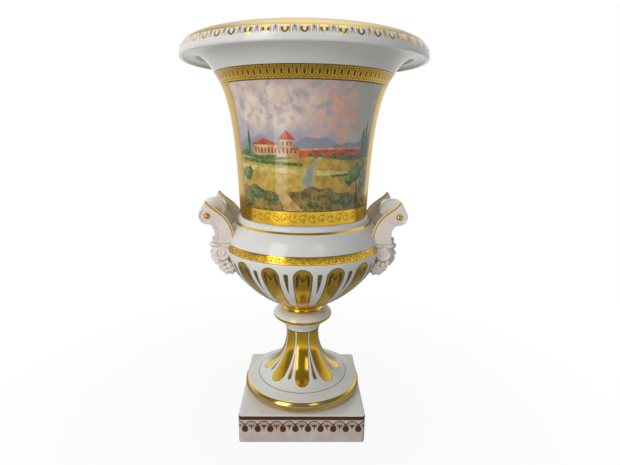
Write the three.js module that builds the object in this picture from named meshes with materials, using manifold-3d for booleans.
// A krater vase in gilded porcelain. A bell with a rolled lip stands in a round bowl, the bowl
// stands on a trumpet pedestal with a knop, and the pedestal stands on a square plinth. One tie
// rod draws bowl, pedestal and plinth together. Two broad scroll handles, each over a horned
// mask, are luted to the bowl.
// Millimetres, +Z up, origin at the centre of the plinth's underside, +X through one handle.
import * as THREE from 'three';
import { mergeVertices } from 'three/addons/utils/BufferGeometryUtils.js';
import Module from 'manifold-3d';

const wasm = await Module();
wasm.setup();

// Fits
const seatGap = 0.3;
const rodClearance = 1.5;
const threadClearance = 0.3;

// Square plinth, open below
const plinthSide = 134;
const plinthHeight = 32.1;
const plinthWall = 6;
const plinthTopThickness = 8;
const plinthCornerRadius = 4;
const plinthEdgeRounding = 1.6;

// Trumpet pedestal with its knop
const pedestalHeight = 95.6;
const pedestalWall = 5;
const footRadius = 66;
const footEdgeDepth = 5.5;
const footEdgeHeight = 13.6;
const footRimWidth = 10.5;
const stemRadius = 18.4;
const collarRise = 15.2;
const collarRadius = 24.3;
const beadHeight = 3.4;
const beadDepth = 1.1;
const knopHeight = 12.2;
const knopRadius = 33;
const knopTopRadius = 22;
const knopPlateThickness = 8;

// Bowl
const bowlHeight = 107.7;
const bowlWall = 5;
const bowlRadius = 84.5;
const beltHeight = 71.7;
const neckRadius = 22.3;
const neckHeight = 5.7;
const neckHollow = 1.6;
const ringHeight = 5.9;
const ringStep = 3.2;
const shoulderStep = 0.5;
const ledgeThickness = 4;
const ledgeWidth = 5;
const socketDepth = 10;

// Bell with its rolled lip
const bellHeight = 175.1;
const bellWall = 5;
const bellFootRadius = 68;
const bellSeatWidth = 2.5;
const spigotWall = 4.2;
const flareRadius = 91.2;
const lipRadius = 123;
const lipDrop = 16.1;
const lipTipRadius = 2.2;
const lipTipHeight = 156.2;
const flareHeight = 143.7;
const crownRadius = 94.5;

// Bedding rings of cork between the castings
const beddingThickness = 1.3;
const beddingWidth = 5;
const beddingInset = 3;
const knopRecessRadius = 17.5;

// Tie rod and its hardware
const rodRadius = 4;
const rodOverhang = 4;
const rodChamfer = 0.6;
const nutAcrossFlats = 13;
const nutThickness = 6.5;
const washerRadius = 12;
const washerThickness = 1.6;
const sealRadius = 14;
const sealThickness = 2;

// Scroll handles
const handleWidth = 76;
const cheekThickness = 4.5;
const handleStandOff = 12.6;
const voluteRise = 39.7;
const voluteRadius = 8.7;
const handleDrop = 28.7;
const handleSpread = 26;
const handleRoot = 14;
const tipRise = 14.9;
const tipOut = 1.7;
const throatDepth = 6.6;
const channelDepth = 8;
const rollRadius = 13.2;
const rollEndRadius = 8.4;
const bossRadius = 3;
const bossHeight = 2.3;

// Horned masks under the handles
const maskHeight = 42;
const faceHalfWidth = 16;
const faceHalfDepth = 12;
const faceStandOff = 4.5;
const noseLength = 11;
const noseWidth = 6.4;
const curlRadius = 4.4;
const hairCurls = 5;
const hornSpiralStart = 9;
const hornSpiralEnd = 1.4;
const hornThickStart = 4;
const hornThickEnd = 1.5;
const hornRibDepth = 0.45;
const hornTurns = 1.25;
const hornSteps = 18;
const hornSides = 6;
const hornStandOff = 6.4;
const hornDrop = 10.5;
const lockHeight = 9;
const lockDepth = 6;

// Facets
const turnSegments = 32;
const hardwareSegments = 16;
const ballSegments = 6;
const headSegments = 10;

// Levels of the stack
const pedestalBase = plinthHeight + seatGap;
const pedestalTop = pedestalBase + pedestalHeight;
const bowlBase = pedestalTop + seatGap;
const bowlTop = bowlBase + bowlHeight;
const bellBase = bowlTop + seatGap;
const rodHoleRadius = rodRadius + rodClearance;
const socketRadius = bellFootRadius - bellSeatWidth;
const spigotRadius = socketRadius - seatGap;
const spigotInnerRadius = spigotRadius - spigotWall;

// Finishes
function finish(color, roughness, metalness) {
  return new THREE.MeshStandardMaterial({ color, roughness, metalness });
}
const porcelain = () => finish('#f1efe9', 0.12, 0);
const biscuit = () => finish('#ece4dc', 0.6, 0);
const gilding = () => finish('#cf9f3a', 0.2, 1);
const cork = () => finish('#a9825a', 0.9, 0);
const rubber = () => finish('#2b2a29', 0.8, 0);
const zincSteel = () => finish('#b9bcc0', 0.35, 1);

// Outline helpers, in radius and height
function at(radius, height) {
  return new THREE.Vector2(radius, height);
}

function bezier(start, pullStart, pullEnd, end, steps) {
  return new THREE.CubicBezierCurve(start, pullStart, pullEnd, end).getPoints(steps);
}

function arc(centre, radiusAcross, radiusUp, fromDegrees, toDegrees, steps) {
  const from = THREE.MathUtils.degToRad(fromDegrees);
  const to = THREE.MathUtils.degToRad(toDegrees);
  const curve = new THREE.EllipseCurve(centre.x, centre.y, radiusAcross, radiusUp, from, to, to < from);
  return curve.getPoints(steps);
}

// A point part of the way between two others, by one share across and one share up
function between(a, b, shareAcross, shareUp) {
  return at(a.x + (b.x - a.x) * shareAcross, a.y + (b.y - a.y) * shareUp);
}

// The same run of points moved to its left by a wall
function offset(points, wall) {
  return points.map((point, i) => {
    const before = points[Math.max(i - 1, 0)];
    const after = points[Math.min(i + 1, points.length - 1)];
    const run = after.clone().sub(before).normalize();
    return at(point.x - run.y * wall, point.y + run.x * wall);
  });
}

function withoutRepeats(points) {
  return points.filter((point, i) => i === 0 || point.distanceTo(points[i - 1]) > 1e-3);
}

// Mesh helpers
function merged(geometry) {
  const bare = new THREE.BufferGeometry();
  bare.setAttribute('position', geometry.getAttribute('position'));
  bare.setIndex(geometry.getIndex());
  const joined = mergeVertices(bare, 1e-4);
  const positions = joined.getAttribute('position');
  const index = joined.getIndex().array;
  const kept = [];
  let volume = 0;
  for (let i = 0; i < index.length; i += 3) {
    const [a, b, c] = [index[i], index[i + 1], index[i + 2]];
    if (a !== b && b !== c && c !== a) {
      kept.push([a, b, c]);
      const [pa, pb, pc] = [a, b, c].map((v) => new THREE.Vector3().fromBufferAttribute(positions, v));
      volume += pa.dot(pb.cross(pc)) / 6;
    }
  }
  const facing = volume < 0 ? kept.map(([a, b, c]) => [a, c, b]) : kept;
  joined.setIndex(facing.flat());
  return joined;
}

function toSolid(geometry) {
  const closed = merged(geometry);
  const vertProperties = new Float32Array(closed.getAttribute('position').array);
  const triVerts = new Uint32Array(closed.getIndex().array);
  return new wasm.Manifold(new wasm.Mesh({ numProp: 3, vertProperties, triVerts }));
}

function toGeometry(solid) {
  const { vertProperties, triVerts } = solid.getMesh();
  const geometry = new THREE.BufferGeometry();
  geometry.setAttribute('position', new THREE.BufferAttribute(new Float32Array(vertProperties), 3));
  geometry.setIndex(Array.from(triVerts));
  geometry.computeVertexNormals();
  return geometry;
}

// A closed outline turned about the Z axis
function turned(outline, segments) {
  const points = withoutRepeats(outline);
  const onAxis = points[0].x === 0 && points[points.length - 1].x === 0;
  const loop = onAxis ? points : [...points, points[0].clone()];
  const geometry = new THREE.LatheGeometry(loop, segments);
  geometry.rotateX(Math.PI / 2);
  return merged(geometry);
}

function ringOf(innerRadius, outerRadius, thickness, segments) {
  const section = [at(innerRadius, 0), at(outerRadius, 0), at(outerRadius, thickness), at(innerRadius, thickness)];
  return turned(section, segments);
}

// Plinth
function roundedSquare(side, radius) {
  const half = side / 2;
  const inner = half - radius;
  const shape = new THREE.Shape();
  shape.absarc(inner, inner, radius, 0, Math.PI / 2);
  shape.absarc(-inner, inner, radius, Math.PI / 2, Math.PI);
  shape.absarc(-inner, -inner, radius, Math.PI, Math.PI * 1.5);
  shape.absarc(inner, -inner, radius, Math.PI * 1.5, Math.PI * 2);
  shape.closePath();
  return shape;
}

function plinthGeometry() {
  const block = new THREE.ExtrudeGeometry(roundedSquare(plinthSide, plinthCornerRadius), {
    depth: plinthHeight - 2 * plinthEdgeRounding,
    bevelThickness: plinthEdgeRounding,
    bevelSize: plinthEdgeRounding,
    bevelOffset: -plinthEdgeRounding,
    bevelSegments: 1,
    curveSegments: 3,
  });
  block.translate(0, 0, plinthEdgeRounding);
  const hollowSide = plinthSide - 2 * plinthWall;
  const hollowHeight = plinthHeight - plinthTopThickness;
  const hollow = new THREE.ExtrudeGeometry(roundedSquare(hollowSide, plinthCornerRadius), {
    depth: 2 * hollowHeight,
    bevelEnabled: false,
    curveSegments: 3,
  });
  hollow.translate(0, 0, -hollowHeight);
  const hole = new THREE.CylinderGeometry(rodHoleRadius, rodHoleRadius, 4 * plinthHeight, hardwareSegments);
  hole.rotateX(Math.PI / 2);
  return toGeometry(toSolid(block).subtract(toSolid(hollow)).subtract(toSolid(hole)));
}

// Pedestal, from the foot's rim up the outside, over the knop and down the inside
const footInnerRadius = footRadius - footEdgeDepth - footRimWidth;

function pedestalGeometry() {
  const edgeCentre = at(footRadius - footEdgeDepth, footEdgeHeight / 2);
  const edge = arc(edgeCentre, footEdgeDepth, footEdgeHeight / 2, -90, 68, 5);
  const flareStart = edge[edge.length - 1];
  const knopBase = pedestalHeight - knopHeight;
  const collarTop = at(collarRadius, knopBase - beadHeight);
  const stemTop = at(stemRadius, collarTop.y - collarRise);
  const pullOut = between(stemTop, flareStart, 0.4, 0.93);
  const pullUp = between(stemTop, flareStart, 0, 0.48);
  const flare = bezier(flareStart, pullOut, pullUp, stemTop, 8);
  const collarPull = between(stemTop, collarTop, 0, 0.68);
  const collar = new THREE.QuadraticBezierCurve(stemTop, collarPull, collarTop).getPoints(3);
  const bead = arc(at(collarRadius, knopBase - beadHeight / 2), beadDepth, beadHeight / 2, -90, 90, 2);
  const knopWaist = knopBase + knopHeight * 0.43;
  const under = arc(at(collarRadius, knopWaist), knopRadius - collarRadius, knopWaist - knopBase, -90, 0, 3);
  const overCentre = at(knopTopRadius, knopWaist);
  const over = arc(overCentre, knopRadius - knopTopRadius, pedestalHeight - knopWaist, 0, 90, 3);
  const recessFloor = pedestalHeight - beddingThickness - seatGap;
  const cavityTop = recessFloor - knopPlateThickness;
  const recess = [
    at(knopRecessRadius, pedestalHeight),
    at(knopRecessRadius, recessFloor),
    at(rodHoleRadius, recessFloor),
    at(rodHoleRadius, cavityTop),
    at(stemRadius - pedestalWall, cavityTop),
  ];
  const inside = offset(flare, pedestalWall).filter((point) => point.x < footInnerRadius);
  const inner = inside.reverse();
  const innerEnd = inner[inner.length - 1];
  const grooveInner = footInnerRadius + beddingInset - seatGap;
  const grooveOuter = footInnerRadius + beddingInset + beddingWidth + seatGap;
  const grooveDepth = beddingThickness + seatGap;
  const rim = [
    at(footInnerRadius, innerEnd.y),
    at(footInnerRadius, 0),
    at(grooveInner, 0),
    at(grooveInner, grooveDepth),
    at(grooveOuter, grooveDepth),
    at(grooveOuter, 0),
  ];
  return turned([...edge, ...flare, ...collar, ...bead, ...under, ...over, ...recess, ...inner, ...rim], turnSegments);
}

// Bowl, from its neck up the outside to the ring, into the socket and down the inside
const ringRadius = bellFootRadius + ringStep;
const shoulderTop = at(ringRadius + shoulderStep, bowlHeight - ringHeight);
const belt = at(bowlRadius, beltHeight);

function bowlBody() {
  const neckTop = at(neckRadius, neckHeight);
  const lowPull = between(neckTop, belt, 0.46, 0.16);
  const highPull = between(neckTop, belt, 1, 0.66);
  return bezier(neckTop, lowPull, highPull, belt, 7);
}

function bowlShoulder() {
  const highPull = between(belt, shoulderTop, 0, 0.41);
  const turnPull = between(belt, shoulderTop, 0.35, 0.81);
  return bezier(belt, highPull, turnPull, shoulderTop, 4);
}

function bowlGeometry() {
  const neckPull = at(neckRadius - 2 * neckHollow, neckHeight / 2);
  const neck = new THREE.QuadraticBezierCurve(at(neckRadius, 0), neckPull, at(neckRadius, neckHeight)).getPoints(3);
  const body = bowlBody();
  const shoulder = bowlShoulder();
  const ringRun = ringRadius - socketRadius - ringStep / 2;
  const ringCentre = at(ringRadius - ringRun, shoulderTop.y + ringHeight * 0.3);
  const ring = arc(ringCentre, ringRun, ringHeight * 0.7, -15, 90, 4);
  const ledge = bowlHeight - socketDepth;
  const socket = [
    at(socketRadius, bowlHeight),
    at(socketRadius, ledge),
    at(socketRadius - ledgeWidth, ledge),
    at(socketRadius - ledgeWidth, ledge - ledgeThickness),
  ];
  const wall = offset(withoutRepeats([...body, ...shoulder]), bowlWall);
  const inside = wall.filter((point) => point.y < ledge - ledgeThickness).reverse();
  const floor = inside[inside.length - 1].y;
  const bore = [at(rodHoleRadius, floor), at(rodHoleRadius, 0)];
  return turned([...neck, ...body, ...shoulder, ...ring, ...socket, ...inside, ...bore], turnSegments);
}
const bowlFloor = bowlBase + offset(bowlBody(), bowlWall)[0].y;

// Bell, from its seat up the outside, round the lip and down the inside to the spigot
function bellGeometry() {
  const foot = at(bellFootRadius, 0);
  const flareTop = at(flareRadius, flareHeight);
  const lowPull = between(foot, flareTop, 0.11, 0.46);
  const highPull = between(foot, flareTop, 0.21, 0.84);
  const wall = bezier(foot, lowPull, highPull, flareTop, 7);
  const tipCentre = at(lipRadius - lipTipRadius, lipTipHeight);
  const tipInner = at(tipCentre.x - lipTipRadius, lipTipHeight);
  const rootPull = between(flareTop, tipInner, 0.17, 0.75);
  const brimPull = between(flareTop, tipInner, 0.54, 1.55);
  const underside = bezier(flareTop, rootPull, brimPull, tipInner, 5);
  const tip = arc(tipCentre, lipTipRadius, lipTipRadius, 180, 360, 3);
  const brow = bellHeight - lipDrop;
  const dome = arc(at(crownRadius, brow), lipRadius - crownRadius, lipDrop, 0, 90, 6);
  const inside = offset(wall, bellWall).reverse();
  const mouth = inside[0];
  const roll = arc(at(crownRadius, brow), crownRadius - mouth.x, lipDrop, 90, 180, 3);
  const spigotDepth = socketDepth - beddingThickness - seatGap;
  const bore = inside.filter((point) => point.y > spigotDepth);
  const spigot = [
    at(spigotInnerRadius, 0),
    at(spigotInnerRadius, -spigotDepth),
    at(spigotRadius, -spigotDepth),
    at(spigotRadius, 0),
  ];
  return turned([...wall, ...underside, ...tip, ...dome, ...roll, ...bore, ...spigot], turnSegments);
}

// Tie rod and hardware
const underPlinthTop = plinthHeight - plinthTopThickness;
const stackHeight = sealThickness + washerThickness + nutThickness + 3 * seatGap;
const rodBottom = underPlinthTop - stackHeight - rodOverhang;
const rodTop = bowlFloor + stackHeight + rodOverhang;

function rodGeometry() {
  const length = rodTop - rodBottom;
  const outline = [
    at(0, 0),
    at(rodRadius - rodChamfer, 0),
    at(rodRadius, rodChamfer),
    at(rodRadius, length - rodChamfer),
    at(rodRadius - rodChamfer, length),
    at(0, length),
  ];
  return turned(outline, hardwareSegments);
}

function nutGeometry() {
  const corner = nutAcrossFlats / 2 / Math.cos(Math.PI / 6);
  const shape = new THREE.Shape();
  for (let side = 0; side < 6; side += 1) {
    const angle = side * Math.PI / 3;
    const place = at(corner * Math.cos(angle), corner * Math.sin(angle));
    side === 0 ? shape.moveTo(place.x, place.y) : shape.lineTo(place.x, place.y);
  }
  shape.closePath();
  const thread = new THREE.Path();
  thread.absarc(0, 0, rodRadius + threadClearance, 0, Math.PI * 2, true);
  shape.holes.push(thread);
  const settings = { depth: nutThickness, bevelEnabled: false, curveSegments: hardwareSegments / 2 };
  return merged(new THREE.ExtrudeGeometry(shape, settings));
}

// Handle outlines, in X and Z about the volute's centre
const voluteCentre = new THREE.Vector3(bowlRadius + handleStandOff, 0, bowlBase + beltHeight + voluteRise);

function giltEdge() {
  const tip = at(tipOut, tipRise);
  const lowPull = at(-0.23 * handleSpread, 0.2 * tipRise);
  const highPull = at(-0.85 * handleSpread, 0.27 * tipRise);
  return bezier(tip, lowPull, highPull, at(-handleSpread, -0.8 * handleDrop), 9);
}

function throat() {
  const foot = at(-0.75 * throatDepth, -handleDrop);
  const lowPull = at(-1.3 * throatDepth, -0.72 * handleDrop);
  const highPull = at(-1.15 * throatDepth, -0.38 * handleDrop);
  const angle = THREE.MathUtils.degToRad(-100);
  const join = at(voluteRadius * Math.cos(angle), voluteRadius * Math.sin(angle));
  return bezier(foot, lowPull, highPull, join, 6);
}

function cheekShape() {
  const head = arc(at(0, 0), voluteRadius, voluteRadius, -100, 50, 8);
  const root = at(-handleSpread - handleRoot, -handleDrop);
  return new THREE.Shape([...giltEdge(), root, ...throat(), ...head.slice(1)]);
}

function webShape() {
  const floor = offset(giltEdge(), channelDepth).filter((point) => point.y < -0.1 * handleDrop);
  const channel = floor.filter((point) => point.y > -handleDrop);
  const root = at(channel[channel.length - 1].x - handleRoot / 2, -handleDrop);
  return new THREE.Shape([at(0, 0), ...channel, root, ...throat()]);
}

function plateAcross(shape, thickness, middle) {
  const geometry = new THREE.ExtrudeGeometry(shape, { depth: thickness, bevelEnabled: false });
  geometry.rotateX(Math.PI / 2);
  geometry.translate(voluteCentre.x, middle + thickness / 2, voluteCentre.z);
  return toSolid(geometry);
}

function rollSolid() {
  const half = handleWidth / 2 - cheekThickness / 2;
  const barrel = arc(at(rollEndRadius, 0), rollRadius - rollEndRadius, half, -90, 90, 7);
  const outline = [at(0, -half), ...barrel, at(0, half)];
  const geometry = new THREE.LatheGeometry(withoutRepeats(outline), hardwareSegments);
  geometry.translate(voluteCentre.x, voluteCentre.y, voluteCentre.z);
  return toSolid(geometry);
}

// The bowl's outside with the seat gap round it, filled in to the axis
function bowlEnvelope() {
  const outside = withoutRepeats([...bowlBody(), ...bowlShoulder()]);
  const grown = offset(outside, -seatGap);
  const top = at(grown[grown.length - 1].x, bowlHeight);
  const outline = [at(0, grown[0].y), ...grown, top, at(0, bowlHeight)];
  const geometry = turned(outline, turnSegments);
  geometry.translate(0, 0, bowlBase);
  return toSolid(geometry);
}

function handleGeometry() {
  const cheekMiddle = (handleWidth - cheekThickness) / 2;
  const front = plateAcross(cheekShape(), cheekThickness, -cheekMiddle);
  const back = plateAcross(cheekShape(), cheekThickness, cheekMiddle);
  const web = plateAcross(webShape(), handleWidth - cheekThickness, 0);
  return toGeometry(front.add(back).add(web).add(rollSolid()).subtract(bowlEnvelope()));
}

function bossGeometry() {
  const dome = arc(at(0, 0), bossRadius, bossHeight, 0, 90, 4);
  const outline = [at(0, 0), ...dome.slice(0, -1), at(0, bossHeight)];
  return merged(new THREE.LatheGeometry(outline, hardwareSegments - 4));
}

// Mask
function bowlRadiusAt(height) {
  const outside = [...bowlBody(), ...bowlShoulder()];
  const above = outside.findIndex((point) => point.y >= height);
  const low = outside[above - 1];
  const high = outside[above];
  return low.x + (high.x - low.x) * (height - low.y) / (high.y - low.y);
}

function ball(x, y, z, radiusX, radiusY, radiusZ, segments = ballSegments) {
  const geometry = new THREE.SphereGeometry(1, segments, Math.round(0.7 * segments));
  geometry.scale(radiusX, radiusY, radiusZ);
  geometry.translate(x, y, z);
  return toSolid(geometry);
}

const maskTop = voluteCentre.z - handleDrop - seatGap;

// A ball on the bowl's surface, at a share of the mask's height down from its top
function onBowl(shareDown, y, standOff, radiusX, radiusY, radiusZ, segments) {
  const z = maskTop - shareDown * maskHeight;
  const surface = Math.sqrt(bowlRadiusAt(z - bowlBase) ** 2 - y ** 2);
  return ball(surface + standOff, y, z, radiusX, radiusY, radiusZ, segments);
}

function faceParts() {
  const depth = faceHalfDepth;
  const width = faceHalfWidth;
  const parts = [onBowl(0.46, 0, faceStandOff, depth, width, 0.44 * maskHeight, headSegments)];
  parts.push(onBowl(0.48, 0, faceStandOff + 0.98 * depth, 0.5 * noseWidth, 0.5 * noseWidth, 0.5 * noseLength));
  parts.push(onBowl(0.31, 0, faceStandOff + 0.8 * depth, 0.3 * depth, 0.66 * width, 0.07 * maskHeight));
  parts.push(onBowl(0.7, 0, faceStandOff + 0.2 * depth, 0.75 * depth, 0.5 * width, 0.27 * maskHeight));
  for (const side of [-1, 1]) {
    parts.push(onBowl(0.62, side * 0.16 * width, faceStandOff + 0.86 * depth, 2.6, 0.26 * width, 2.2));
    parts.push(onBowl(0.64, side * 0.5 * width, faceStandOff, 0.7 * depth, 0.34 * width, 0.25 * maskHeight));
    parts.push(onBowl(0.5, side * 0.88 * width, faceStandOff / 2, 0.6 * depth, 0.36 * width, 0.27 * maskHeight));
  }
  return parts;
}

function hairParts() {
  const parts = [];
  for (let i = 0; i < hairCurls; i += 1) {
    const y = ((i / (hairCurls - 1)) * 2 - 1) * faceHalfWidth * 0.85;
    const standOff = 0.75 * faceHalfDepth * Math.cos(y / faceHalfWidth);
    parts.push(onBowl(0.11, y, standOff, 1.8 * curlRadius, curlRadius, curlRadius));
  }
  return parts;
}

// Locks of hair and beard that fill the sides below the horns
function lockParts(side) {
  const parts = [];
  for (let i = 0; i < 3; i += 1) {
    const y = side * (faceHalfWidth * 1.15 + i * lockDepth);
    const shareDown = 0.6 - 0.07 * i;
    parts.push(onBowl(shareDown, y, lockDepth * (0.45 - 0.1 * i), lockDepth, 0.75 * lockDepth, lockHeight));
  }
  return parts;
}

// A closed tube of round rings whose radius changes along its line of centres
function taperedTube(centres, radii, sides) {
  const positions = [];
  const index = [];
  const last = centres.length - 1;
  centres.forEach((centre, i) => {
    const run = centres[Math.min(i + 1, last)].clone().sub(centres[Math.max(i - 1, 0)]).normalize();
    const across = new THREE.Vector3(0, 1, 0).cross(run).normalize();
    const up = run.clone().cross(across);
    for (let k = 0; k < sides; k += 1) {
      const angle = (k / sides) * Math.PI * 2;
      const spoke = across.clone().multiplyScalar(Math.cos(angle)).addScaledVector(up, Math.sin(angle));
      positions.push(...centre.clone().addScaledVector(spoke, radii[i]).toArray());
    }
  });
  for (let i = 0; i < last; i += 1) {
    for (let k = 0; k < sides; k += 1) {
      const next = (k + 1) % sides;
      const [a, b] = [i * sides + k, i * sides + next];
      index.push(a, b, b + sides, a, b + sides, a + sides);
    }
  }
  for (let k = 1; k < sides - 1; k += 1) {
    index.push(0, k + 1, k, last * sides, last * sides + k, last * sides + k + 1);
  }
  const geometry = new THREE.BufferGeometry();
  geometry.setAttribute('position', new THREE.Float32BufferAttribute(positions, 3));
  geometry.setIndex(index);
  return toSolid(geometry);
}

// A ribbed horn winds from the brow back over the bowl, down and round again to its tip
function hornSolid(side) {
  const centreZ = maskTop - hornDrop;
  const outer = handleWidth / 2 - hornThickStart;
  const centres = [];
  const radii = [];
  for (let i = 0; i <= hornSteps; i += 1) {
    const share = i / hornSteps;
    const angle = Math.PI * (0.2 + 2 * hornTurns * share);
    const reach = THREE.MathUtils.lerp(hornSpiralStart, hornSpiralEnd, share);
    const y = side * THREE.MathUtils.lerp(0.75 * faceHalfWidth, outer, Math.min(1, 1.8 * share));
    const z = centreZ + reach * Math.sin(angle);
    const surface = Math.sqrt(bowlRadiusAt(z - bowlBase) ** 2 - y ** 2);
    centres.push(new THREE.Vector3(surface + hornStandOff + reach * Math.cos(angle), y, z));
    radii.push(THREE.MathUtils.lerp(hornThickStart, hornThickEnd, share) - hornRibDepth * (i % 2));
  }
  return taperedTube(centres, radii, hornSides);
}

function maskGeometry() {
  const parts = [...faceParts(), ...hairParts()];
  for (const side of [-1, 1]) {
    parts.push(...lockParts(side), hornSolid(side));
  }
  const whole = parts.reduce((sum, part) => sum.add(part));
  const lid = new THREE.BoxGeometry(2 * bowlRadius, 2 * bowlRadius, maskHeight);
  lid.translate(bowlRadius, 0, maskTop + maskHeight / 2);
  return toGeometry(whole.subtract(toSolid(lid)).subtract(bowlEnvelope()));
}

// The assembly
const vase = new THREE.Group();

function place(parent, name, geometry, material, height) {
  const mesh = new THREE.Mesh(geometry, material);
  mesh.name = name;
  mesh.position.z = height;
  parent.add(mesh);
  return mesh;
}

place(vase, 'plinth', plinthGeometry(), porcelain(), 0);
const footRing = ringOf(
  footInnerRadius + beddingInset,
  footInnerRadius + beddingInset + beddingWidth,
  beddingThickness,
  turnSegments,
);
place(vase, 'foot_bedding_ring', footRing, cork(), pedestalBase);
place(vase, 'pedestal_foot', pedestalGeometry(), porcelain(), pedestalBase);
const knopRing = ringOf(rodHoleRadius, knopRecessRadius - seatGap, beddingThickness, hardwareSegments);
place(vase, 'knop_bedding_ring', knopRing, cork(), pedestalTop - beddingThickness);
place(vase, 'bowl', bowlGeometry(), porcelain(), bowlBase);
const socketFloor = bowlTop - socketDepth;
const bellRing = ringOf(spigotInnerRadius, socketRadius - seatGap, beddingThickness, turnSegments);
place(vase, 'bell_bedding_ring', bellRing, cork(), socketFloor + seatGap);
place(vase, 'bell', bellGeometry(), porcelain(), bellBase);

place(vase, 'tie_rod', rodGeometry(), zincSteel(), rodBottom);
const boreRadius = rodRadius + threadClearance;
const seal = () => ringOf(boreRadius, sealRadius, sealThickness, hardwareSegments);
const washer = () => ringOf(boreRadius, washerRadius, washerThickness, hardwareSegments);
const upperSeal = bowlFloor + seatGap;
const upperWasher = upperSeal + sealThickness + seatGap;
place(vase, 'upper_seal', seal(), rubber(), upperSeal);
place(vase, 'upper_washer', washer(), zincSteel(), upperWasher);
place(vase, 'upper_nut', nutGeometry(), zincSteel(), upperWasher + washerThickness + seatGap);
const lowerSeal = underPlinthTop - seatGap - sealThickness;
const lowerWasher = lowerSeal - seatGap - washerThickness;
place(vase, 'lower_seal', seal(), rubber(), lowerSeal);
place(vase, 'lower_washer', washer(), zincSteel(), lowerWasher);
place(vase, 'lower_nut', nutGeometry(), zincSteel(), lowerWasher - seatGap - nutThickness);

for (const side of ['right', 'left']) {
  const arm = new THREE.Group();
  arm.rotation.z = side === 'right' ? 0 : Math.PI;
  vase.add(arm);
  place(arm, `handle_${side}`, handleGeometry(), porcelain(), 0);
  place(arm, `mask_${side}`, maskGeometry(), biscuit(), 0);
  for (const face of [-1, 1]) {
    const towardsFront = (face < 0) === (side === 'right');
    const boss = place(arm, `boss_${side}_${towardsFront ? 'front' : 'back'}`, bossGeometry(), gilding(), 0);
    boss.rotation.x = face < 0 ? Math.PI : 0;
    boss.position.set(voluteCentre.x, face * (handleWidth / 2 + seatGap), voluteCentre.z);
  }
}

export default vase;
